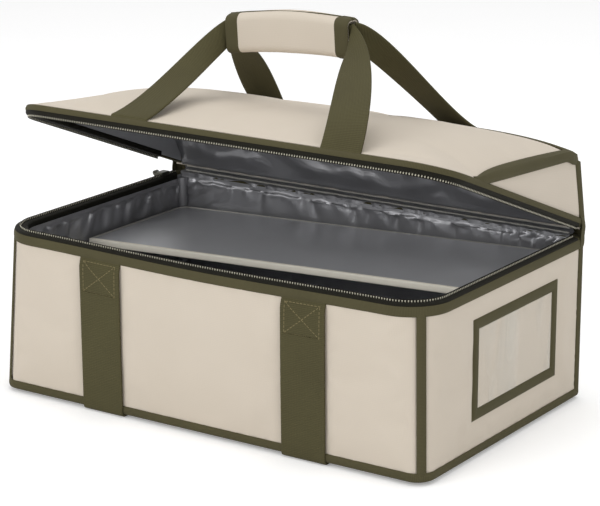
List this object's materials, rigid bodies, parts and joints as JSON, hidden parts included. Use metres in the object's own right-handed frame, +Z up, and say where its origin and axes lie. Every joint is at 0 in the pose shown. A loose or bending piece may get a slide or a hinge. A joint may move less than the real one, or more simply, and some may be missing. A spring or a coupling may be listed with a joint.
{
  "type": "pizza delivery bag",
  "caption": "Soft insulated rectangular delivery bag: zipped lid hinged on the back rim and standing ajar, webbing straps, padded wrap grip, label window, divider shelf.",
  "frame": {"origin": "on the floor, under the middle of the box", "axes": "+X towards the end with the label window, +Y towards the hinge at the back, +Z up"},
  "size_m": [0.4992, 0.3087, 0.3872],
  "materials": {
    "canvas": "matt cream coated canvas",
    "binding": "ribbed olive binding tape",
    "webbing": "woven olive webbing",
    "lining": "shiny grey insulating film",
    "foam": "closed-cell foam",
    "board": "stiff base board",
    "film": "clear soft film",
    "coil": "dark nylon zip coil",
    "metal": "satin metal",
    "closure": "hook and loop tape"
  },
  "bodies": {
    "body": {"front_panel": "canvas", "front_foam": "foam", "front_lining": "lining", "right_panel": "canvas", "right_foam": "foam", "right_lining": "lining", "back_panel": "canvas", "back_foam": "foam", "back_lining": "lining", "left_panel": "canvas", "left_foam": "foam", "left_lining": "lining", "base_panel": "canvas", "base_board": "board", "base_foam": "foam", "base_lining": "lining", "rim_binding": "binding", "base_binding": "binding", "front_left_binding": "binding", "front_right_binding": "binding", "back_left_binding": "binding", "back_right_binding": "binding", "left_strap": "webbing", "right_strap": "webbing", "window_frame": "binding", "window_film": "film", "lower_zip": "coil", "zip_slider": "metal", "hinge_strip": "binding"},
    "shelf": {"shelf_board": "lining", "shelf_edge": "canvas"},
    "zip_pull": {"zip_pull": "metal"},
    "lid": {"upper_zip": "coil", "lid_hinge_strip": "binding", "lid_top_panel": "canvas", "lid_top_foam": "foam", "lid_top_lining": "lining", "lid_back_panel": "canvas", "lid_back_foam": "foam", "lid_back_lining": "lining", "lid_left_panel": "canvas", "lid_left_foam": "foam", "lid_left_lining": "lining", "lid_right_panel": "canvas", "lid_right_foam": "foam", "lid_right_lining": "lining", "lid_left_binding": "binding", "lid_right_binding": "binding", "lid_rim_binding": "binding", "lid_seam_binding": "binding", "front_left_leg": "webbing", "front_right_leg": "webbing", "back_left_leg": "webbing", "back_right_leg": "webbing"},
    "grip": {"front_grip_web": "webbing", "back_grip_web": "webbing", "grip_pad": "canvas", "grip_loop_strip": "closure"},
    "grip_flap": {"grip_flap": "canvas", "grip_hook_strip": "closure"}
  },
  "joints": [
    {"name": "lid_hinge", "type": "hinge", "parent": "body", "child": "lid", "pos_m": [0, 0.1512, 0.169], "axis": [-1, 0, 0], "range_deg": [-21.5, 90]},
    {"name": "grip_drop", "type": "slide", "parent": "lid", "child": "grip", "axis": [0, 0, -1], "range_m": [0, 0.03], "deforming": ["front_left_leg", "front_right_leg", "back_left_leg", "back_right_leg"]},
    {"name": "flap_hinge", "type": "hinge", "parent": "grip", "child": "grip_flap", "pos_m": [-0.00104, 0.0042, 0.38297], "axis": [-0.9981, 0, -0.061], "range_deg": [0, 110]},
    {"name": "shelf_lift", "type": "slide", "parent": "body", "child": "shelf", "axis": [0, 0, 1], "range_m": [0, 0.018]},
    {"name": "pull_swing", "type": "hinge", "parent": "body", "child": "zip_pull", "pos_m": [-0.25, 0.113, 0.169], "axis": [0, 1, 0], "range_deg": [0, 90]}
  ]
}
